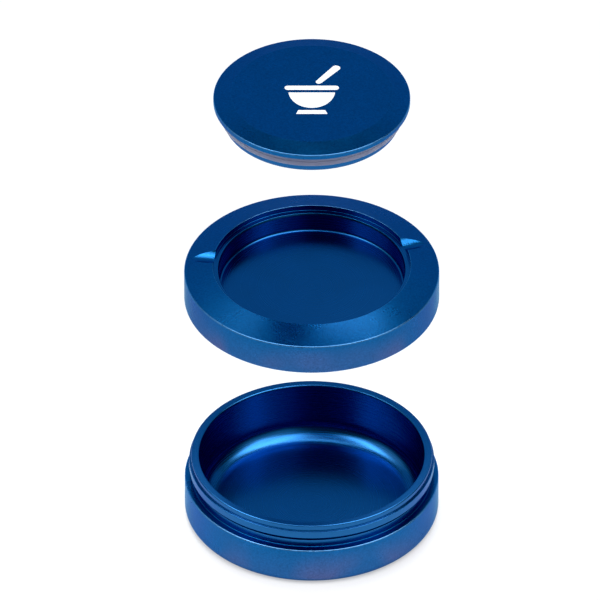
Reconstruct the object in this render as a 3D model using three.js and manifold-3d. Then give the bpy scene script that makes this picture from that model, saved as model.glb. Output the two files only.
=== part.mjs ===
// A turned aluminium tin in three metal pieces: a low jar, a tray that caps the jar and a plug
// lid that drops flush into the tray. A silicone ring on the lid's plug seals it in the tray,
// and a second ring on the tray's cup seals it in the jar's mouth. The pieces stand apart on
// one vertical axis, in the order in which they are lifted off.
// Lengths are in millimetres, +Z is up, and the jar stands on z = 0 with its axis on Z.

import * as THREE from 'three';
import { mergeVertices } from 'three/addons/utils/BufferGeometryUtils.js';
import Module from 'manifold-3d';

const wasm = await Module();
wasm.setup();

// Round shapes are polygons of this many sides. A rounded corner takes more steps as it grows.
const TURNED_SIDES = 88;
const cornerSteps = (rounding) => Math.ceil(1.5 + 0.7 * rounding);

const bodyRadius = 40;       // jar and tray share one outer diameter of 80
const fitGap = 0.3;          // clearance that loose or seated pieces keep

const jar = {
  height: 21.5,
  shoulder: 13.2,            // height of the ledge that the tray's skirt comes down to
  baseRound: 3,
  edgeChamfer: 0.3,
  neckRadius: 38,
  landRadius: 38.6,          // raised land round the neck that guides the tray
  landTop: 2,                // depth of the land's upper edge below the rim
  landBottom: 4.4,
  rootRadius: 37.6,          // neck below the land
  boreRadius: 35.4,
  mouthChamfer: 0.5,
  floor: 2.2,
  floorRound: 6,
};

const tray = {
  skirt: 10.2,               // height of the cylindrical side
  height: 12.6,              // height of the recess edge, where the conical top is highest
  edgeChamfer: 0.35,
  recessRadius: 31,
  recessDepth: 8.3,
  seatDepth: 1.85,           // depth of the ledge that carries the lid's rim
  seatInner: 30,
  leadIn: 0.55,              // height of the chamfer between the ledge and the wall
  wallRadius: 29.1,
  floorRound: 0.75,
  floor: 2,
  cupRadius: 33.2,           // outside of the cup that hangs in the jar's mouth
  sealGrooveRadius: 32,
  sealGroove: [4.1, 7.3],    // from and to, above the skirt's lower edge
};

const notch = {
  radius: 4,
  depth: 1.8,                // below the recess edge, just above the ledge
  bearings: [20.5, 172],     // degrees round Z from +X
};

const lid = {
  rimRadius: 30.75,
  rim: 1.65,                 // thickness of the rim's side
  flatRadius: 25.2,
  flatRise: 1.4,             // height of the flat top above the rim's upper edge
  plugRadius: 27.7,
  plugDepth: 8,              // from the rim's upper edge to the plug's lower edge
  hollowRadius: 24.9,
  hollowRoof: 1,             // depth of the hollow's roof below the rim's upper edge
  sealGrooveRadius: 26.6,
  sealGrooveBottom: 5.9,
};

const seal = {
  lid: { inner: 26.9, outer: 28.85, lip: 0.35 },
  tray: { inner: 32.3, outer: 35.1, lip: 0.5 },
};

const spacing = {
  trayBase: 83.1,            // height of the tray's lower edge
  lidEdge: 160.9,            // height of the lid rim's upper edge
};

const anodised = { color: 0x1b5a9e, roughness: 0.34, metalness: 1 };
const silicone = { color: 0xaeb3bd, roughness: 0.45, metalness: 0 };

// An outline in radius and height from corners [radius, height, rounding]. A rounded corner
// becomes an arc that is tangent to both of its sides.
function outline(corners, closed) {
  const points = [];
  corners.forEach(([r, z, rounding = 0], index) => {
    const corner = new THREE.Vector2(r, z);
    const isEnd = !closed && (index === 0 || index === corners.length - 1);
    if (rounding === 0 || isEnd) {
      points.push(corner);
      return;
    }
    const before = corners[(index + corners.length - 1) % corners.length];
    const after = corners[(index + 1) % corners.length];
    const toBefore = new THREE.Vector2(before[0] - r, before[1] - z).normalize();
    const toAfter = new THREE.Vector2(after[0] - r, after[1] - z).normalize();
    const half = Math.acos(toBefore.dot(toAfter)) / 2;
    const middle = toBefore.clone().add(toAfter).normalize();
    const centre = corner.clone().addScaledVector(middle, rounding / Math.sin(half));
    const start = corner.clone().addScaledVector(toBefore, rounding / Math.tan(half)).sub(centre);
    const turn = Math.sign(toAfter.cross(toBefore)) * (Math.PI - 2 * half);
    const steps = cornerSteps(rounding);
    for (let step = 0; step <= steps; step += 1) {
      const arm = start.clone().rotateAround(new THREE.Vector2(), turn * step / steps);
      points.push(arm.add(centre));
    }
  });
  if (closed) points.push(points[0].clone());
  return points;
}

// A solid of revolution about Z. The outline runs upwards on the outside of the metal.
function turned(corners, closed = false) {
  const geometry = new THREE.LatheGeometry(outline(corners, closed), TURNED_SIDES);
  geometry.rotateX(Math.PI / 2);
  return geometry;
}

function toSolid(geometry) {
  const bare = geometry.clone();
  bare.deleteAttribute('normal');
  bare.deleteAttribute('uv');
  const merged = mergeVertices(bare, 1e-5);
  const index = Array.from(merged.index.array);
  const triVerts = [];
  for (let i = 0; i < index.length; i += 3) {
    const [a, b, c] = index.slice(i, i + 3);
    if (a !== b && b !== c && c !== a) triVerts.push(a, b, c);
  }
  return new wasm.Manifold(new wasm.Mesh({
    numProp: 3,
    vertProperties: Float32Array.from(merged.attributes.position.array),
    triVerts: Uint32Array.from(triVerts),
  }));
}

function toGeometry(solid) {
  const mesh = solid.getMesh();
  const geometry = new THREE.BufferGeometry();
  geometry.setAttribute('position', new THREE.BufferAttribute(mesh.vertProperties, 3));
  geometry.setIndex(new THREE.BufferAttribute(mesh.triVerts, 1));
  geometry.computeVertexNormals();
  return geometry;
}

function piece(name, geometry, finish, height = 0) {
  const mesh = new THREE.Mesh(geometry, new THREE.MeshStandardMaterial(finish));
  mesh.name = name;
  mesh.position.z = height;
  return mesh;
}

// Jar: thick wall, round lower edge, thin neck with one raised land, bore with a round floor.
function jarGeometry() {
  const rim = jar.height;
  const landUpper = rim - jar.landTop;
  const landLower = rim - jar.landBottom;
  return turned([
    [0, 0],
    [bodyRadius, 0, jar.baseRound],
    [bodyRadius, jar.shoulder - jar.edgeChamfer],
    [bodyRadius - jar.edgeChamfer, jar.shoulder],
    [jar.rootRadius, jar.shoulder],
    [jar.rootRadius, landLower],
    [jar.landRadius, landLower],
    [jar.landRadius, landUpper],
    [jar.neckRadius, landUpper],
    [jar.neckRadius, rim - jar.edgeChamfer],
    [jar.neckRadius - jar.edgeChamfer, rim],
    [jar.boreRadius + jar.mouthChamfer, rim],
    [jar.boreRadius, rim - jar.mouthChamfer],
    [jar.boreRadius, jar.floor, jar.floorRound],
    [0, jar.floor],
  ]);
}

// Tray: skirt and cup share a conical top, with the neck's slot between them from below.
function trayGeometry() {
  const skirtInner = jar.landRadius + fitGap;
  const slotRoof = jar.height - jar.shoulder + fitGap;
  const seat = tray.height - tray.seatDepth;
  const recessFloor = tray.height - tray.recessDepth;
  const cupUnderside = recessFloor - tray.floor;
  const [grooveLower, grooveUpper] = tray.sealGroove;
  return turned([
    [0, cupUnderside],
    [tray.cupRadius - tray.edgeChamfer, cupUnderside],
    [tray.cupRadius, cupUnderside + tray.edgeChamfer],
    [tray.cupRadius, grooveLower],
    [tray.sealGrooveRadius, grooveLower],
    [tray.sealGrooveRadius, grooveUpper],
    [tray.cupRadius, grooveUpper],
    [tray.cupRadius, slotRoof],
    [skirtInner, slotRoof],
    [skirtInner, 0],
    [bodyRadius - tray.edgeChamfer, 0],
    [bodyRadius, tray.edgeChamfer],
    [bodyRadius, tray.skirt - tray.edgeChamfer],
    [bodyRadius - tray.edgeChamfer, tray.skirt],
    [tray.recessRadius, tray.height],
    [tray.recessRadius, seat],
    [tray.seatInner, seat],
    [tray.wallRadius, seat - tray.leadIn],
    [tray.wallRadius, recessFloor, tray.floorRound],
    [0, recessFloor],
  ]);
}

// A level round-bottomed groove that leaves the recess and runs out on the falling cone.
function notchCutter(bearing) {
  const start = tray.seatInner + fitGap;
  const length = bodyRadius - start;
  const geometry = new THREE.CylinderGeometry(notch.radius, notch.radius, length, 40);
  geometry.rotateZ(Math.PI / 2);
  geometry.translate(start + length / 2, 0, tray.height - notch.depth + notch.radius);
  geometry.rotateZ(THREE.MathUtils.degToRad(bearing));
  return toSolid(geometry);
}

function notchedTrayGeometry() {
  let solid = toSolid(trayGeometry());
  for (const bearing of notch.bearings) solid = solid.subtract(notchCutter(bearing));
  return toGeometry(solid);
}

// Lid: low bevelled top on a rim, with a hollow plug below. Heights are from the rim's edge.
function lidGeometry() {
  return turned([
    [0, -lid.hollowRoof],
    [lid.hollowRadius, -lid.hollowRoof, 1.2],
    [lid.hollowRadius, -lid.plugDepth],
    [lid.plugRadius, -lid.plugDepth, 0.5],
    [lid.plugRadius, -lid.sealGrooveBottom],
    [lid.sealGrooveRadius, -lid.sealGrooveBottom],
    [lid.sealGrooveRadius, -lid.rim],
    [lid.rimRadius, -lid.rim, 0.2],
    [lid.rimRadius, -0.25],
    [lid.rimRadius - 0.25, 0],
    [lid.flatRadius, lid.flatRise],
    [0, lid.flatRise],
  ]);
}

// A moulded silicone ring of rectangular section with soft outer edges.
function ringGeometry({ inner, outer, lip }, lower, upper) {
  return turned([
    [inner, lower],
    [outer, lower, lip],
    [outer, upper, lip],
    [inner, upper],
  ], true);
}

const [traySealLower, traySealUpper] = tray.sealGroove;
const lidSealLower = -lid.sealGrooveBottom + fitGap;
const lidSealUpper = -lid.rim - fitGap;

const pillCrusher = new THREE.Group();
pillCrusher.add(
  piece('jar', jarGeometry(), anodised),
  piece('tray', notchedTrayGeometry(), anodised, spacing.trayBase),
  piece(
    'tray_seal',
    ringGeometry(seal.tray, traySealLower + fitGap, traySealUpper - fitGap),
    silicone,
    spacing.trayBase,
  ),
  piece('lid', lidGeometry(), anodised, spacing.lidEdge),
  piece('lid_seal', ringGeometry(seal.lid, lidSealLower, lidSealUpper), silicone, spacing.lidEdge),
);

export default pillCrusher;
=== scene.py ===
import math

import bmesh
import bpy
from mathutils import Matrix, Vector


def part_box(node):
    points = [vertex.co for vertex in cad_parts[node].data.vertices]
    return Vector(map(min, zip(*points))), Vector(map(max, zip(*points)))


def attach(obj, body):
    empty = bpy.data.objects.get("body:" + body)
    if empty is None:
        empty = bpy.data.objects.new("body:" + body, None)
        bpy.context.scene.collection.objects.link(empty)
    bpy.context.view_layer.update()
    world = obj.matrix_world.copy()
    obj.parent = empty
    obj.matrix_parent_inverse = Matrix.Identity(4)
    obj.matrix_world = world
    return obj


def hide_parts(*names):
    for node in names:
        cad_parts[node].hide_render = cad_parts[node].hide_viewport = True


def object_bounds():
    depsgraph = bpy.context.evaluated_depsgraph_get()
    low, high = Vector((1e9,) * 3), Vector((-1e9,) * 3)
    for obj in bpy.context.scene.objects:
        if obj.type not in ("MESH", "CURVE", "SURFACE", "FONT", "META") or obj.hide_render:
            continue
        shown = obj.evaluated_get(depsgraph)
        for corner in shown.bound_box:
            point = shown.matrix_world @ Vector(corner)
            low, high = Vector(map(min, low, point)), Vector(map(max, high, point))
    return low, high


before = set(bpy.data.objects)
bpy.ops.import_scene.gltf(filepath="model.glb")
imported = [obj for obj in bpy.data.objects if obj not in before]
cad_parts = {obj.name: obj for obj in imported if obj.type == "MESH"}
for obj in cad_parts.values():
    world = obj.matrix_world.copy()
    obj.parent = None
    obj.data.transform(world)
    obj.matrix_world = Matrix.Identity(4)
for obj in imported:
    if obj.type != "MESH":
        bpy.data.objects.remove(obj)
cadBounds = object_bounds()
scene = bpy.context.scene
mm = 0.001


def linear(hexText):
    channels = [int(hexText[i:i + 2], 16) / 255 for i in (1, 3, 5)]
    curve = [c / 12.92 if c <= 0.04045 else ((c + 0.055) / 1.055) ** 2.4 for c in channels]
    return (*curve, 1.0)


def addNode(tree, kind, inputs=None, **settings):
    node = tree.nodes.new(kind)
    for name, value in settings.items():
        setattr(node, name, value)
    for key, value in (inputs or {}).items():
        if isinstance(value, bpy.types.NodeSocket):
            tree.links.new(value, node.inputs[key])
        else:
            node.inputs[key].default_value = value
    return node


def newMaterial(name):
    material = bpy.data.materials.new(name)
    material.use_nodes = True
    material.node_tree.nodes.clear()
    return material, material.node_tree


# Camera: level with the horizon left to right, looking down at 37 degrees from the front, with a very
# long lens, so that the three round pieces keep one scale.
view = {"elevation": 36.87, "lens": 1700, "sensor": 36, "frameWidth": 188.2, "left": 3.67,
        "height": 81.77, "sightMetres": 50}


def addCamera():
    camera = bpy.data.cameras.new("frontCamera")
    camera.lens = view["lens"]
    camera.sensor_width = view["sensor"]
    camera.clip_end = view["sightMetres"]
    rig = bpy.data.objects.new("frontCamera", camera)
    distance = view["frameWidth"] * mm * view["lens"] / view["sensor"]
    elevation = math.radians(view["elevation"])
    rig.location = (
        -view["left"] * mm,
        -distance * math.cos(elevation),
        view["height"] * mm + distance * math.sin(elevation),
    )
    rig.rotation_euler = (math.pi / 2 - elevation, 0, 0)
    scene.collection.objects.link(rig)
    scene.camera = rig


addCamera()
print("camera placed")

# Bead-blasted aluminium, dyed deep blue, anodised and sealed: a dyed metal reflection with a fine even
# grain, under a clear oxide skin that adds a faint white sheen at low angles. Towards the lower edge of
# a side wall a painted lilac sheen, standing in for the reflection of the bright floor, is laid into the
# colour in soft patches. Sharp edges are drawn paler: partly thinner dye, partly a painted highlight.
blasted = {
    "dye": "#085E9C", "dyeDeep": "#075890", "lilacSheen": "#5A5E8E", "paleEdgeHighlight": "#7FB6E8",
    "grainSize": 0.6, "cloudSize": 9.0, "patchSize": 22.0, "rough": (0.26, 0.33), "bump": 0.06,
    "fleck": (0.84, 1.16), "patch": (0.25, 1.0), "edgeHighlightShare": 0.45, "skin": 0.25, "skinRough": 0.3,
    "slant": "#24B4E0",
}
# The same dye over a turned surface: fine tool rings and a clearer reflection. Sharp edges are drawn
# paler: partly thinner dye, partly a painted highlight.
turned = {
    "dye": "#085E9C", "dyeDeep": "#075890", "paleEdgeHighlight": "#3F86C4",
    "ringPitch": 0.3, "cloudSize": 7.0, "rough": (0.22, 0.28), "bump": 0.0035,
    "edgeHighlightShare": 0.15, "skin": 0.45, "skinRough": 0.24, "slant": "#24B4E0",
}


def blastedAluminium():
    material, tree = newMaterial("blastedAnodisedAluminium")
    place = addNode(tree, "ShaderNodeTexCoord").outputs["Object"]
    # Bead craters are about 0.1 mm; drawn at 0.6 mm so that the grain still shows.
    grain = addNode(tree, "ShaderNodeTexNoise", {
        "Vector": place, "Scale": 1 / (blasted["grainSize"] * mm), "Detail": 2.0, "Roughness": 0.6})
    cloud = addNode(tree, "ShaderNodeTexNoise", {
        "Vector": place, "Scale": 1 / (blasted["cloudSize"] * mm), "Detail": 3.0})
    patch = addNode(tree, "ShaderNodeTexNoise", {
        "Vector": place, "Scale": 1 / (blasted["patchSize"] * mm), "Detail": 1.0})
    dye = addNode(tree, "ShaderNodeMix", {
        0: cloud.outputs[0], 6: linear(blasted["dye"]), 7: linear(blasted["dyeDeep"])}, data_type="RGBA")
    # Painted sheen: a lilac reflection of the bright floor laid into the colour, full at a side wall's
    # lower edge, in soft patches.
    lowSheen = addNode(tree, "ShaderNodeAttribute", attribute_name="lowSheen")
    least, most = blasted["patch"]
    patchy = addNode(tree, "ShaderNodeMapRange", {
        "Value": patch.outputs[0], "From Min": 0.4, "From Max": 0.6, "To Min": least, "To Max": most})
    sheenShare = addNode(tree, "ShaderNodeMath", {0: lowSheen.outputs["Fac"], 1: patchy.outputs[0]},
                   operation="MULTIPLY")
    lilacSheen = addNode(tree, "ShaderNodeMix", {
        0: sheenShare.outputs[0], 6: dye.outputs[2], 7: linear(blasted["lilacSheen"])}, data_type="RGBA")
    # Sharp convex edges are drawn paler: partly thinner dye on the edge, partly a painted highlight along
    # it.
    edge = addNode(tree, "ShaderNodeAttribute", attribute_name="edge")
    share = addNode(tree, "ShaderNodeMath", {0: edge.outputs["Fac"], 1: blasted["edgeHighlightShare"]},
                    operation="MULTIPLY")
    paler = addNode(tree, "ShaderNodeMix", {
        0: share.outputs[0], 6: lilacSheen.outputs[2], 7: linear(blasted["paleEdgeHighlight"])}, data_type="RGBA")
    dark, bright = blasted["fleck"]
    fleck = addNode(tree, "ShaderNodeMapRange", {
        "Value": grain.outputs[0], "From Min": 0.3, "From Max": 0.7, "To Min": dark, "To Max": bright})
    grainy = addNode(tree, "ShaderNodeMix", {0: 1.0, 6: paler.outputs[2], 7: fleck.outputs[0]},
                     data_type="RGBA", blend_type="MULTIPLY")
    low, high = blasted["rough"]
    rough = addNode(tree, "ShaderNodeMapRange", {
        "Value": cloud.outputs[0], "From Min": 0.3, "From Max": 0.7, "To Min": low, "To Max": high})
    bump = addNode(tree, "ShaderNodeBump", {
        "Height": grain.outputs[0], "Strength": 1.0, "Distance": blasted["bump"] * mm})
    shader = addNode(tree, "ShaderNodeBsdfPrincipled", {
        "Base Color": grainy.outputs[2], "Metallic": 1.0, "Roughness": rough.outputs[0],
        "Specular Tint": linear(blasted["slant"]), "Coat Weight": blasted["skin"],
        "Coat Roughness": blasted["skinRough"], "Normal": bump.outputs[0]})
    addNode(tree, "ShaderNodeOutputMaterial", {"Surface": shader.outputs[0]})
    return material


def turnedAluminium():
    material, tree = newMaterial("turnedAnodisedAluminium")
    place = addNode(tree, "ShaderNodeTexCoord").outputs["Object"]
    cloud = addNode(tree, "ShaderNodeTexNoise", {
        "Vector": place, "Scale": 1 / (turned["cloudSize"] * mm), "Detail": 3.0})
    dye = addNode(tree, "ShaderNodeMix", {
        0: cloud.outputs[0], 6: linear(turned["dye"]), 7: linear(turned["dyeDeep"])}, data_type="RGBA")
    # Sharp convex edges are drawn paler: partly thinner dye on the edge, partly a painted highlight along
    # it.
    edge = addNode(tree, "ShaderNodeAttribute", attribute_name="edge")
    share = addNode(tree, "ShaderNodeMath", {0: edge.outputs["Fac"], 1: turned["edgeHighlightShare"]},
                    operation="MULTIPLY")
    paler = addNode(tree, "ShaderNodeMix", {
        0: share.outputs[0], 6: dye.outputs[2], 7: linear(turned["paleEdgeHighlight"])}, data_type="RGBA")
    # Feed marks of the tool run round the piece. They are about 0.08 mm apart; drawn at 0.3 mm.
    along = addNode(tree, "ShaderNodeAttribute", attribute_name="along")
    count = addNode(tree, "ShaderNodeMath", {0: along.outputs["Fac"], 1: 1 / (turned["ringPitch"] * mm)},
                    operation="MULTIPLY")
    rings = addNode(tree, "ShaderNodeTexNoise", {"W": count.outputs[0], "Scale": 1.0, "Detail": 2.0},
                    noise_dimensions="1D")
    low, high = turned["rough"]
    rough = addNode(tree, "ShaderNodeMapRange", {
        "Value": rings.outputs[0], "From Min": 0.3, "From Max": 0.7, "To Min": low, "To Max": high})
    bump = addNode(tree, "ShaderNodeBump", {
        "Height": rings.outputs[0], "Strength": 1.0, "Distance": turned["bump"] * mm})
    shader = addNode(tree, "ShaderNodeBsdfPrincipled", {
        "Base Color": paler.outputs[2], "Metallic": 1.0, "Roughness": rough.outputs[0],
        "Specular Tint": linear(turned["slant"]), "Coat Weight": turned["skin"],
        "Coat Roughness": turned["skinRough"], "Normal": bump.outputs[0]})
    addNode(tree, "ShaderNodeOutputMaterial", {"Surface": shader.outputs[0]})
    return material


# Moulded silicone, uncoloured and frosted: milky, with soft highlights and a little light that goes in
# and comes out again nearby.
rubber = {"milk": "#9399B4", "shade": "#7D83A2", "cloudSize": 4.0, "grainSize": 0.4,
          "rough": (0.36, 0.48), "bump": 0.02, "ior": 1.41, "soft": 0.4, "softDepth": 0.8}


def mouldedSilicone():
    material, tree = newMaterial("mouldedSilicone")
    place = addNode(tree, "ShaderNodeTexCoord").outputs["Object"]
    cloud = addNode(tree, "ShaderNodeTexNoise", {
        "Vector": place, "Scale": 1 / (rubber["cloudSize"] * mm), "Detail": 3.0})
    grain = addNode(tree, "ShaderNodeTexNoise", {
        "Vector": place, "Scale": 1 / (rubber["grainSize"] * mm), "Detail": 2.0})
    milk = addNode(tree, "ShaderNodeMix", {
        0: cloud.outputs[0], 6: linear(rubber["milk"]), 7: linear(rubber["shade"])}, data_type="RGBA")
    low, high = rubber["rough"]
    rough = addNode(tree, "ShaderNodeMapRange", {
        "Value": grain.outputs[0], "From Min": 0.3, "From Max": 0.7, "To Min": low, "To Max": high})
    bump = addNode(tree, "ShaderNodeBump", {
        "Height": grain.outputs[0], "Strength": 0.1, "Distance": rubber["bump"] * mm})
    shader = addNode(tree, "ShaderNodeBsdfPrincipled", {
        "Base Color": milk.outputs[2], "Roughness": rough.outputs[0], "IOR": rubber["ior"],
        "Subsurface Weight": rubber["soft"], "Subsurface Radius": (1.0, 1.0, 1.1),
        "Subsurface Scale": rubber["softDepth"] * mm, "Normal": bump.outputs[0]})
    addNode(tree, "ShaderNodeOutputMaterial", {"Surface": shader.outputs[0]})
    return material


# White pad-printing ink: matt, opaque, with a faint tooth from the blasted metal under it.
ink = {"white": "#FFFFFF", "shade": "#F2F3F5", "toothSize": 0.3, "bump": 0.02, "rough": 0.55}


def padPrintInk():
    material, tree = newMaterial("whitePadPrintInk")
    place = addNode(tree, "ShaderNodeTexCoord").outputs["Object"]
    tooth = addNode(tree, "ShaderNodeTexNoise", {
        "Vector": place, "Scale": 1 / (ink["toothSize"] * mm), "Detail": 2.0})
    tone = addNode(tree, "ShaderNodeMix", {
        0: tooth.outputs[0], 6: linear(ink["white"]), 7: linear(ink["shade"])}, data_type="RGBA")
    bump = addNode(tree, "ShaderNodeBump", {
        "Height": tooth.outputs[0], "Strength": 0.3, "Distance": ink["bump"] * mm})
    shader = addNode(tree, "ShaderNodeBsdfPrincipled", {
        "Base Color": tone.outputs[2], "Roughness": ink["rough"], "Normal": bump.outputs[0]})
    addNode(tree, "ShaderNodeOutputMaterial", {"Surface": shader.outputs[0]})
    return material


materials = {
    "blasted": blastedAluminium(),
    "turned": turnedAluminium(),
    "silicone": mouldedSilicone(),
    "ink": padPrintInk(),
}
print("materials made")

# An outline is a list of corners (radius, height, rounding, finish), in mm, that runs upwards on the
# outside of the metal. The finish is that of the face which leaves the corner.
cornerStep = math.radians(7)
holdBack = 0.04     # extra points this near to a rounding keep the flat faces flat when shaded smooth
# A sharp convex rounding is drawn paler: partly thinner dye on the edge, partly a painted highlight along
# it.
edgeLimit = 1.0     # a rounding of this radius or more is no edge, and is not drawn paler


def outlinePoints(corners, closed=False):
    points = []
    count = len(corners)
    for index, (r, z, rounding, finish) in enumerate(corners):
        isEnd = not closed and index in (0, count - 1)
        if isEnd or rounding == 0:
            points.append((r, z, 0.0, finish))
            continue
        before, after = corners[index - 1], corners[(index + 1) % count]
        toBefore = (before[0] - r, before[1] - z)
        toAfter = (after[0] - r, after[1] - z)
        lengthBefore, lengthAfter = math.hypot(*toBefore), math.hypot(*toAfter)
        toBefore = (toBefore[0] / lengthBefore, toBefore[1] / lengthBefore)
        toAfter = (toAfter[0] / lengthAfter, toAfter[1] / lengthAfter)
        half = math.acos(toBefore[0] * toAfter[0] + toBefore[1] * toAfter[1]) / 2
        turn = math.copysign(math.pi - 2 * half, toAfter[0] * toBefore[1] - toAfter[1] * toBefore[0])
        reach = rounding / math.tan(half)
        middle = (toBefore[0] + toAfter[0], toBefore[1] + toAfter[1])
        size = math.hypot(*middle)
        centre = (r + middle[0] / size * rounding / math.sin(half),
                  z + middle[1] / size * rounding / math.sin(half))
        start = (r + toBefore[0] * reach - centre[0], z + toBefore[1] * reach - centre[1])
        previous = corners[index - 1][3]
        points.append((r + toBefore[0] * (reach + holdBack), z + toBefore[1] * (reach + holdBack),
                       0.0, previous))
        steps = max(4, math.ceil(abs(turn) / cornerStep))
        convex = min(1.0, turn / (math.pi / 2)) if turn > 0 and rounding < edgeLimit else 0.0
        for step in range(steps + 1):
            angle = turn * step / steps
            cos, sin = math.cos(angle), math.sin(angle)
            bulge = math.sin(math.pi * step / steps)
            points.append((centre[0] + start[0] * cos - start[1] * sin,
                           centre[1] + start[0] * sin + start[1] * cos,
                           convex * bulge, finish if 2 * step >= steps else previous))
        points.append((r + toAfter[0] * (reach + holdBack), z + toAfter[1] * (reach + holdBack),
                       0.0, finish))
    if closed:
        points.append(points[0])
    return points


def turningTree():
    tree = bpy.data.node_groups.new("turnOutline", "GeometryNodeTree")
    for name, kind in (("Outline", "NodeSocketGeometry"), ("Sides", "NodeSocketInt"),
                       ("Weld", "NodeSocketFloat"), ("Plain finish", "NodeSocketMaterial"),
                       ("Turned finish", "NodeSocketMaterial")):
        tree.interface.new_socket(name=name, in_out="INPUT", socket_type=kind)
    tree.interface.new_socket(name="Piece", in_out="OUTPUT", socket_type="NodeSocketGeometry")
    given = addNode(tree, "NodeGroupInput").outputs
    points = addNode(tree, "GeometryNodeAttributeDomainSize", {"Geometry": given["Outline"]})
    columns = addNode(tree, "FunctionNodeIntegerMath", {0: given["Sides"], 1: 1}, operation="ADD")
    grid = addNode(tree, "GeometryNodeMeshGrid", {
        "Vertices X": points.outputs["Point Count"], "Vertices Y": columns.outputs[0]})
    index = addNode(tree, "GeometryNodeInputIndex").outputs[0]
    row = addNode(tree, "FunctionNodeIntegerMath", {0: index, 1: columns.outputs[0]},
                  operation="DIVIDE")
    column = addNode(tree, "FunctionNodeIntegerMath", {0: index, 1: columns.outputs[0]},
                     operation="MODULO")
    faceRow = addNode(tree, "FunctionNodeIntegerMath", {0: index, 1: given["Sides"]},
                      operation="DIVIDE")
    part = addNode(tree, "ShaderNodeMath", {0: column.outputs[0], 1: given["Sides"]},
                   operation="DIVIDE")
    angle = addNode(tree, "ShaderNodeMath", {0: part.outputs[0], 1: 2 * math.pi},
                    operation="MULTIPLY")
    sample = addNode(tree, "GeometryNodeSampleIndex", data_type="FLOAT_VECTOR", domain="POINT")
    tree.links.new(given["Outline"], sample.inputs["Geometry"])
    tree.links.new(addNode(tree, "GeometryNodeInputPosition").outputs[0], sample.inputs["Value"])
    tree.links.new(row.outputs[0], sample.inputs["Index"])
    radius = addNode(tree, "ShaderNodeSeparateXYZ", {0: sample.outputs[0]})
    cos = addNode(tree, "ShaderNodeMath", {0: angle.outputs[0]}, operation="COSINE")
    sin = addNode(tree, "ShaderNodeMath", {0: angle.outputs[0]}, operation="SINE")
    x = addNode(tree, "ShaderNodeMath", {0: radius.outputs["X"], 1: cos.outputs[0]},
                operation="MULTIPLY")
    y = addNode(tree, "ShaderNodeMath", {0: radius.outputs["X"], 1: sin.outputs[0]},
                operation="MULTIPLY")
    place = addNode(tree, "ShaderNodeCombineXYZ", {
        "X": x.outputs[0], "Y": y.outputs[0], "Z": radius.outputs["Z"]})
    shaped = addNode(tree, "GeometryNodeSetPosition", {
        "Geometry": grid.outputs["Mesh"], "Position": place.outputs[0]})
    piece = shaped.outputs[0]
    for name, rowIndex, domain in (("edge", row, "POINT"), ("along", row, "POINT"),
                                   ("lowSheen", row, "POINT"), ("finish", faceRow, "FACE")):
        named = addNode(tree, "GeometryNodeInputNamedAttribute", {"Name": name}, data_type="FLOAT")
        read = addNode(tree, "GeometryNodeSampleIndex", data_type="FLOAT", domain="POINT")
        tree.links.new(given["Outline"], read.inputs["Geometry"])
        tree.links.new(named.outputs[0], read.inputs["Value"])
        tree.links.new(rowIndex.outputs[0], read.inputs["Index"])
        stored = addNode(tree, "GeometryNodeStoreNamedAttribute", {
            "Geometry": piece, "Name": name}, data_type="FLOAT", domain=domain)
        tree.links.new(read.outputs[0], stored.inputs["Value"])
        piece = stored.outputs[0]
    welded = addNode(tree, "GeometryNodeMergeByDistance", {
        "Geometry": piece, "Distance": given["Weld"]})
    smooth = addNode(tree, "GeometryNodeSetShadeSmooth", {"Geometry": welded.outputs[0]})
    real = addNode(tree, "GeometryNodeRealizeInstances", {"Geometry": smooth.outputs[0]})
    plain = addNode(tree, "GeometryNodeSetMaterial", {
        "Geometry": real.outputs[0], "Material": given["Plain finish"]})
    finish = addNode(tree, "GeometryNodeInputNamedAttribute", {"Name": "finish"}, data_type="FLOAT")
    isTurned = addNode(tree, "ShaderNodeMath", {0: finish.outputs[0], 1: 0.5},
                       operation="GREATER_THAN")
    both = addNode(tree, "GeometryNodeSetMaterial", {
        "Geometry": plain.outputs[0], "Selection": isTurned.outputs[0],
        "Material": given["Turned finish"]})
    addNode(tree, "NodeGroupOutput", {"Piece": both.outputs[0]})
    return tree


turning = turningTree()
weld = 1e-7     # in metres; joins the seam and the points on the axis


def turnPiece(name, corners, base, sides, plainFinish, turnedFinish, closed=False, floorSheen=None):
    points = outlinePoints(corners, closed)
    verts = [(r * mm, 0, z * mm + base) for r, z, edge, finish in points]
    mesh = bpy.data.meshes.new(name)
    mesh.from_pydata(verts, [(i, i + 1) for i in range(len(verts) - 1)], [])
    lengths = [0.0]
    for one, two in zip(verts, verts[1:]):
        lengths.append(lengths[-1] + math.dist(one, two))
    columns = {
        "edge": [edge for r, z, edge, finish in points],
        "along": lengths,
        "finish": [1.0 if finish == "turned" else 0.0 for r, z, edge, finish in points],
        "lowSheen": [floorSheen(r, z) if floorSheen else 0.0 for r, z, edge, finish in points],
    }
    for key, values in columns.items():
        mesh.attributes.new(key, "FLOAT", "POINT").data.foreach_set("value", values)
    piece = bpy.data.objects.new(name, mesh)
    scene.collection.objects.link(piece)
    modifier = piece.modifiers.new("turn", "NODES")
    modifier.node_group = turning
    values = {"Sides": sides, "Weld": weld, "Plain finish": plainFinish,
              "Turned finish": turnedFinish}
    for item in turning.interface.items_tree:
        if item.in_out == "INPUT" and item.name in values:
            modifier[item.identifier] = values[item.name]
    graph = bpy.context.evaluated_depsgraph_get()
    made = bpy.data.meshes.new_from_object(piece.evaluated_get(graph), depsgraph=graph)
    made.name = name
    piece.modifiers.clear()
    piece.data = made
    return piece


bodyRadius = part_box("jar")[1][0] / mm
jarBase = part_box("jar")[0][2]
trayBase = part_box("tray")[0][2]
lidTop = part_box("lid")[1][2]


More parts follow.
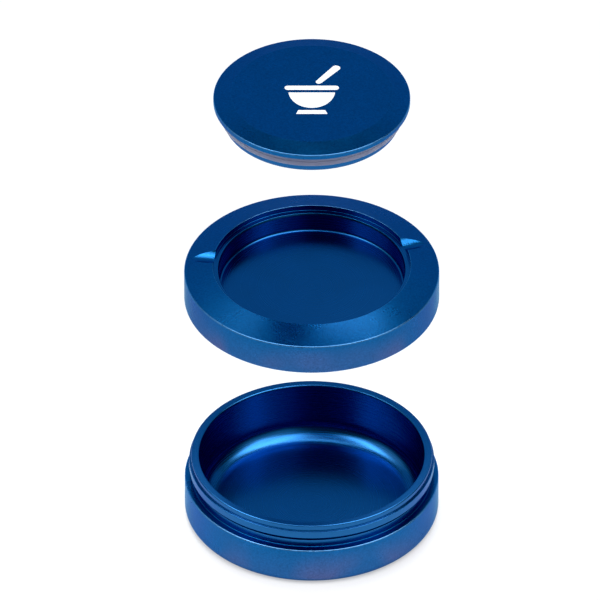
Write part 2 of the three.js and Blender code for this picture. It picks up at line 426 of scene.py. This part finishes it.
# The painted lilac sheen, standing in for the bright floor's reflection, is full at a side wall's lower
# edge and gone at the sheen height.
def lowerSheen(sizes):
    def floorSheen(r, z):
        share = max(0.0, 1 - z / sizes["sheenHeight"])
        return sizes["floorSheen"] * share if r > bodyRadius - sizes["sheenInset"] else 0.0

    return floorSheen


jar = {"height": 21.5, "shoulder": 13.2, "baseRound": 3.0, "baseRim": 6.0, "neck": 38.0, "land": 38.6,
       "landTop": 2.0, "landBottom": 4.4, "root": 37.6, "relief": 1.35, "reliefDepth": 0.5,
       "bore": 35.4, "floor": 2.2, "floorRound": 6.0, "floorSheen": 0.9, "sheenHeight": 11.0,
       "sheenInset": 6.0, "sides": 448}


def jarPiece():
    rim = jar["height"]
    upper, lower = rim - jar["landTop"], rim - jar["landBottom"]
    corners = [
        (0, 0, 0, "turned"),
        (bodyRadius - jar["baseRim"], 0, 0, "blasted"),
        (bodyRadius, 0, jar["baseRound"], "blasted"),
        (bodyRadius, jar["shoulder"], 0.4, "blasted"),
        (jar["root"], jar["shoulder"], 0.3, "turned"),
        (jar["root"], lower - jar["relief"], 0.08, "turned"),
        (jar["root"] - jar["reliefDepth"], lower - jar["relief"], 0.08, "turned"),
        (jar["root"] - jar["reliefDepth"], lower, 0.12, "turned"),
        (jar["land"], lower, 0.15, "turned"),
        (jar["land"], upper, 0.2, "turned"),
        (jar["neck"], upper, 0.12, "turned"),
        (jar["neck"], rim, 0.4, "turned"),
        (jar["bore"], rim, 0.6, "turned"),
        (jar["bore"], jar["floor"], jar["floorRound"], "turned"),
        (0, jar["floor"], 0, "turned"),
    ]
    return turnPiece("jarShell", corners, jarBase, jar["sides"], materials["blasted"],
                     materials["turned"], floorSheen=lowerSheen(jar))


tray = {"skirt": 10.2, "height": 12.6, "recess": 31.0, "depth": 8.3, "seat": 1.85, "leadInReach": 0.3,
        "leadIn": 0.55, "wall": 29.1, "floorRound": 0.75, "floor": 2.0, "cup": 33.2, "groove": 32.0,
        "grooveFrom": 4.1, "grooveTo": 7.3, "skirtInner": 38.9, "slot": 8.6, "floorSheen": 0.95,
        "sheenHeight": 8.0, "sheenInset": 1.0, "sides": 400}
notch = {"radius": 4.0, "depth": 1.8, "bearings": (20.5, 172.0), "reach": (29.0, 42.0), "steps": 96,
         "sharpFrom": 11}


def trayPiece():
    seat = tray["height"] - tray["seat"]
    floor = tray["height"] - tray["depth"]
    under = floor - tray["floor"]
    corners = [
        (0, under, 0, "turned"),
        (tray["cup"], under, 0.35, "turned"),
        (tray["cup"], tray["grooveFrom"], 0.15, "turned"),
        (tray["groove"], tray["grooveFrom"], 0.1, "turned"),
        (tray["groove"], tray["grooveTo"], 0.1, "turned"),
        (tray["cup"], tray["grooveTo"], 0.15, "turned"),
        (tray["cup"], tray["slot"], 0.4, "turned"),
        (tray["skirtInner"], tray["slot"], 0.4, "turned"),
        (tray["skirtInner"], 0, 0.2, "blasted"),
        (bodyRadius, 0, 0.45, "blasted"),
        (bodyRadius, tray["skirt"], 0.5, "blasted"),
        (tray["recess"], tray["height"], 0.18, "turned"),
        (tray["recess"], seat, 0.15, "turned"),
        (tray["wall"] + tray["leadInReach"], seat, 0.15, "turned"),
        (tray["wall"], seat - tray["leadIn"], 0.3, "turned"),
        (tray["wall"], floor, tray["floorRound"], "turned"),
        (0, floor, 0, "turned"),
    ]
    piece = turnPiece("trayShell", corners, trayBase, tray["sides"], materials["blasted"],
                      materials["turned"], floorSheen=lowerSheen(tray))
    cutNotches(piece)
    return piece


# The two notches are level round-bottomed grooves, cut from the recess out through the cone.
def cutNotches(piece):
    axis = trayBase + (tray["height"] - notch["depth"] + notch["radius"]) * mm
    steps = notch["steps"]
    cutters = []
    for bearing in notch["bearings"]:
        angle = math.radians(bearing)
        cos, sin = math.cos(angle), math.sin(angle)
        verts = []
        for outward in notch["reach"]:
            for step in range(steps):
                turn = 2 * math.pi * (step + 0.5) / steps
                across, up = notch["radius"] * math.sin(turn), notch["radius"] * math.cos(turn)
                verts.append(((outward * cos - across * sin) * mm, (outward * sin + across * cos) * mm,
                              axis + up * mm))
        sides = [(i + steps, (i + 1) % steps + steps, (i + 1) % steps, i) for i in range(steps)]
        mesh = bpy.data.meshes.new("notchCutter")
        mesh.from_pydata(verts, [], [*sides, tuple(range(steps)),
                                     tuple(range(steps, 2 * steps))[::-1]])
        mesh.materials.append(materials["blasted"])
        cutter = bpy.data.objects.new("notchCutter", mesh)
        scene.collection.objects.link(cutter)
        modifier = piece.modifiers.new("notch", "BOOLEAN")
        modifier.operation = "DIFFERENCE"
        modifier.solver = "EXACT"
        modifier.object = cutter
        cutters.append(cutter)
    graph = bpy.context.evaluated_depsgraph_get()
    made = bpy.data.meshes.new_from_object(piece.evaluated_get(graph), depsgraph=graph)
    made.name = piece.name
    piece.modifiers.clear()
    piece.data = made
    made.set_sharp_from_angle(angle=math.radians(notch["sharpFrom"]))
    for cutter in cutters:
        bpy.data.objects.remove(cutter)


lid = {"height": 9.4, "edge": 8.0, "rimRadius": 30.75, "rim": 1.65, "flat": 25.2, "plug": 27.7,
       "hollow": 24.9, "roof": 1.0, "groove": 26.6, "grooveBottom": 5.9, "ink": 0.04, "sides": 512}


def lidPiece():
    edge = lid["edge"]
    top = lid["height"] - lid["ink"]
    corners = [
        (0, edge - lid["roof"], 0, "turned"),
        (lid["hollow"], edge - lid["roof"], 1.2, "turned"),
        (lid["hollow"], 0, 0.3, "turned"),
        (lid["plug"], 0, 0.5, "turned"),
        (lid["plug"], edge - lid["grooveBottom"], 0.12, "turned"),
        (lid["groove"], edge - lid["grooveBottom"], 0.1, "turned"),
        (lid["groove"], edge - lid["rim"], 0.1, "turned"),
        (lid["rimRadius"], edge - lid["rim"], 0.25, "blasted"),
        (lid["rimRadius"], edge, 0.4, "blasted"),
        (lid["flat"], top, 0.6, "blasted"),
        (0, top, 0, "blasted"),
    ]
    return turnPiece("lidShell", corners, lidTop - lid["height"] * mm, lid["sides"],
                     materials["blasted"], materials["turned"])


ring = {"lidInner": 26.9, "lidOuter": 28.85, "trayInner": 32.3, "trayOuter": 35.1,
        "waist": 0.12, "waistAt": (0.46, 0.5, 0.54), "sides": 360}


def ringPiece(name, node, inner, outer):
    low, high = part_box(node)[0][2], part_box(node)[1][2]
    height = (high - low) / mm
    under, middle, over = [height * share for share in ring["waistAt"]]
    corners = [
        (inner, 0, 0.15, "blasted"),
        (outer, 0, 0.45, "blasted"),
        (outer, under, 0.12, "blasted"),
        (outer - ring["waist"], middle, 0.12, "blasted"),
        (outer, over, 0.12, "blasted"),
        (outer, height, 0.45, "blasted"),
        (inner, height, 0.15, "blasted"),
    ]
    return turnPiece(name, corners, low, ring["sides"], materials["silicone"],
                     materials["silicone"], closed=True)


jarShell = jarPiece()
trayShell = trayPiece()
lidShell = lidPiece()
lidRing = ringPiece("lidRing", "lid_seal", ring["lidInner"], ring["lidOuter"])
trayRing = ringPiece("trayRing", "tray_seal", ring["trayInner"], ring["trayOuter"])
print("turned pieces made")

# The sign printed on the lid: a plain mortar and pestle. The bowl is a half round that leaves out a few
# degrees at each end; heights are counted from the lid's middle.
sign = {"width": 17.0, "bowlTop": 1.5, "bowl": 9.0, "bowlShare": 0.86, "bowlFrom": 6, "bowlSteps": 40,
        "rimBar": 2.2, "rimGap": 0.4, "foot": 2.0, "footGap": 1.2, "footHalf": (4.2, 4.9),
        "pestleFrom": (2.2, 2.0), "pestleTo": (7.6, 13.4), "pestleRadii": (0.95, 1.3), "sunk": 0.01}


def signShapes():
    half = sign["width"] / 2
    bowlTop = sign["bowlTop"]
    bowlFrom, bowlSteps = sign["bowlFrom"], sign["bowlSteps"]
    sweep = 180 - 2 * bowlFrom
    bowl = []
    for step in range(bowlSteps + 1):
        angle = math.radians(bowlFrom + sweep * step / bowlSteps)
        bowl.append((half * sign["bowlShare"] * math.cos(angle),
                     bowlTop - sign["bowl"] * math.sin(angle)))
    footTop = bowlTop - sign["bowl"] - sign["footGap"]
    narrow, wide = sign["footHalf"]
    foot = [(-narrow, footTop), (-wide, footTop - sign["foot"]),
            (wide, footTop - sign["foot"]), (narrow, footTop)]
    barLow = bowlTop + sign["rimGap"]
    barRadius = sign["rimBar"] / 2
    bar = stadium((-half + barRadius, barLow + barRadius), (half - barRadius, barLow + barRadius),
                  barRadius, barRadius)
    pestleX, pestleGap = sign["pestleFrom"]
    pestle = stadium((pestleX, barLow + sign["rimBar"] + pestleGap), sign["pestleTo"],
                     *sign["pestleRadii"])
    return [bowl, foot, bar, pestle]


# A round-ended bar, or one that widens from one end to the other.
def stadium(start, end, startRadius, endRadius, steps=16):
    heading = math.atan2(end[1] - start[1], end[0] - start[0])
    points = []
    for centre, radius, first in ((start, startRadius, heading + math.pi / 2),
                                  (end, endRadius, heading - math.pi / 2)):
        for step in range(steps + 1):
            angle = first + math.pi * step / steps
            points.append((centre[0] + radius * math.cos(angle), centre[1] + radius * math.sin(angle)))
    return points


def signPiece():
    bottom, top = lidTop - (lid["ink"] + sign["sunk"]) * mm, lidTop
    bm = bmesh.new()
    for shape in signShapes():
        low, high = [[bm.verts.new((x * mm, y * mm, z)) for x, y in shape] for z in (bottom, top)]
        bm.faces.new(low)
        bm.faces.new(high)
        for i in range(len(shape)):
            bm.faces.new((low[i - 1], low[i], high[i], high[i - 1]))
    bmesh.ops.recalc_face_normals(bm, faces=bm.faces)
    bmesh.ops.triangulate(bm, faces=[face for face in bm.faces if len(face.verts) > 4])
    mesh = bpy.data.meshes.new("lidSign")
    bm.to_mesh(mesh)
    bm.free()
    mesh.materials.append(materials["ink"])
    piece = bpy.data.objects.new("lidSign", mesh)
    scene.collection.objects.link(piece)
    return piece


lidSign = signPiece()
print("sign printed")


# The floor is just under the jar, so that the two flat faces do not share a plane.
ground = {"reachMetres": 6.0, "gap": 0.05, "paper": "#B6B6B7", "rough": 0.7, "glow": 0.46}


def addFloor():
    mesh = bpy.data.meshes.new("studioFloor")
    reach = ground["reachMetres"]
    mesh.from_pydata([(-reach, -reach, 0), (reach, -reach, 0), (reach, reach, 0), (-reach, reach, 0)],
                     [], [(0, 1, 2, 3)])
    floor = bpy.data.objects.new("studioFloor", mesh)
    floor.location.z = cadBounds[0][2] - ground["gap"] * mm
    scene.collection.objects.link(floor)
    material, tree = newMaterial("paleStudioFloor")
    shader = addNode(tree, "ShaderNodeBsdfPrincipled", {
        "Base Color": linear(ground["paper"]), "Roughness": ground["rough"],
        "Emission Color": linear("#FFFFFF"), "Emission Strength": ground["glow"]})
    addNode(tree, "ShaderNodeOutputMaterial", {"Surface": shader.outputs[0]})
    mesh.materials.append(material)


# Soft studio light: soft boxes round the object as bright patches of the world. An azimuth is counted
# from the front towards the right, an elevation from the horizon, and reach is half the width and half
# the height of a box, all in degrees.
softBoxes = {
    "overhead": {"azimuth": 0, "elevation": 78, "reach": (46, 23), "soft": 0.1, "strength": 3.2,
                 "colour": "#FFFFFF"},
    "left": {"azimuth": -88, "elevation": 37, "reach": (22, 18), "soft": 0.2, "strength": 0.8,
             "colour": "#FFFFFF"},
    "right": {"azimuth": 46, "elevation": 37, "reach": (27, 18), "soft": 0.2, "strength": 0.6,
              "colour": "#FFFFFF"},
    "back": {"azimuth": 180, "elevation": 14, "reach": (60, 42), "soft": 0.3, "strength": 0.52,
             "colour": "#A6DAFF"},
}
ownSide = 0.05      # the least cosine to a box's middle: past that there is no box, only its mirror image
roomGlow = 0.06

# Small soft boxes that hang under the lid and under the tray, facing down, because those two pieces
# shade what is under them. Across and deep are where a box begins and ends in x and in y, in mm, and
# spread is the angle, in degrees, into which it shines.
hangingBoxes = {
    "underLidRight": {"body": "lid", "across": (2, 40), "deep": (-10, 34), "strength": 1.1,
                      "spread": 84},
    "underLidLeft": {"body": "lid", "across": (-56, -26), "deep": (-10, 34), "strength": 0.75,
                     "spread": 84},
    "underTrayRight": {"body": "tray", "across": (7, 56), "deep": (-20, 46), "strength": 2.2,
                       "spread": 96},
    "underTrayLeft": {"body": "tray", "across": (-58, -27), "deep": (-20, 50), "strength": 2.7,
                      "spread": 96},
}
hangingGap = 1.5    # from the piece down to its boxes, in mm


def addWorld():
    world = bpy.data.worlds.new("softStudio")
    scene.world = world
    world.use_nodes = True
    tree = world.node_tree
    tree.nodes.clear()
    way = addNode(tree, "ShaderNodeTexCoord").outputs["Generated"]
    total = (roomGlow, roomGlow, roomGlow)
    for box in softBoxes.values():
        azimuth, elevation = math.radians(box["azimuth"]), math.radians(box["elevation"])
        sinA, cosA = math.sin(azimuth), math.cos(azimuth)
        sinE, cosE = math.sin(elevation), math.cos(elevation)
        ahead = addNode(tree, "ShaderNodeVectorMath", {0: way, 1: (sinA * cosE, -cosA * cosE, sinE)},
                        operation="DOT_PRODUCT").outputs["Value"]
        light = addNode(tree, "ShaderNodeMath", {0: ahead, 1: ownSide},
                        operation="GREATER_THAN").outputs[0]
        axes = (cosA, sinA, 0), (-sinA * sinE, cosA * sinE, cosE)
        for axis, reach in zip(axes, box["reach"]):
            aside = addNode(tree, "ShaderNodeVectorMath", {0: way, 1: axis},
                            operation="DOT_PRODUCT").outputs["Value"]
            slant = addNode(tree, "ShaderNodeMath", {0: aside, 1: ahead}, operation="DIVIDE").outputs[0]
            size = addNode(tree, "ShaderNodeMath", {0: slant}, operation="ABSOLUTE").outputs[0]
            limit = math.tan(math.radians(reach))
            inside = addNode(tree, "ShaderNodeMapRange", {
                "Value": size, "From Min": limit + box["soft"], "From Max": limit - box["soft"],
                "To Min": 0.0, "To Max": 1.0}, interpolation_type="SMOOTHSTEP")
            light = addNode(tree, "ShaderNodeMath", {0: light, 1: inside.outputs[0]},
                            operation="MULTIPLY").outputs[0]
        glow = [channel * box["strength"] for channel in linear(box["colour"])[:3]]
        total = addNode(tree, "ShaderNodeVectorMath", {0: light, 1: glow, 2: total},
                        operation="MULTIPLY_ADD").outputs[0]
    sky = addNode(tree, "ShaderNodeBackground", {"Color": total, "Strength": 1.0})
    # Past the floor's far edge the eye sees plain white paper.
    paper = addNode(tree, "ShaderNodeBackground", {"Color": (1, 1, 1, 1), "Strength": 1.0})
    direct = addNode(tree, "ShaderNodeLightPath").outputs["Is Camera Ray"]
    seen = addNode(tree, "ShaderNodeMixShader", {0: direct, 1: sky.outputs[0], 2: paper.outputs[0]})
    addNode(tree, "ShaderNodeOutputWorld", {"Surface": seen.outputs[0]})


def addHangingBoxes():
    for name, box in hangingBoxes.items():
        lamp = bpy.data.lights.new(name, "AREA")
        lamp.shape = "RECTANGLE"
        lamp.size = (box["across"][1] - box["across"][0]) * mm
        lamp.size_y = (box["deep"][1] - box["deep"][0]) * mm
        lamp.energy = box["strength"] * math.pi * lamp.size * lamp.size_y
        lamp.spread = math.radians(box["spread"])
        hung = bpy.data.objects.new(name, lamp)
        hung.location = (sum(box["across"]) / 2 * mm, sum(box["deep"]) / 2 * mm,
                         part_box(box["body"])[0][2] - hangingGap * mm)
        hung.visible_camera = False
        scene.collection.objects.link(hung)


# A film-like toe: the deep blues fall off a little faster than the light does. Each pair is a light
# level and the level that is shown for it.
filmToe = ((0.007, 0.0014), (0.02, 0.0125), (0.1, 0.088), (0.3, 0.29))
combinedCurve = 3   # the curve for all three channels together


def setFilm():
    scene.view_settings.view_transform = "Standard"
    scene.view_settings.use_curve_mapping = True
    mapping = scene.view_settings.curve_mapping
    tone = mapping.curves[combinedCurve]
    for level, shown in filmToe:
        tone.points.new(level, shown)
    mapping.update()


addFloor()
addWorld()
addHangingBoxes()
setFilm()
print("floor and light set")

for piece, body, node, slot in (
        (jarShell, "jar", "jar", "anodised_aluminium"),
        (trayShell, "tray", "tray", "anodised_aluminium"),
        (lidShell, "lid", "lid", "anodised_aluminium"),
        (trayRing, "tray_seal", "tray_seal", "silicone"),
        (lidRing, "lid_seal", "lid_seal", "silicone")):
    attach(piece, body)
    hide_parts(node)
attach(lidSign, "lid")
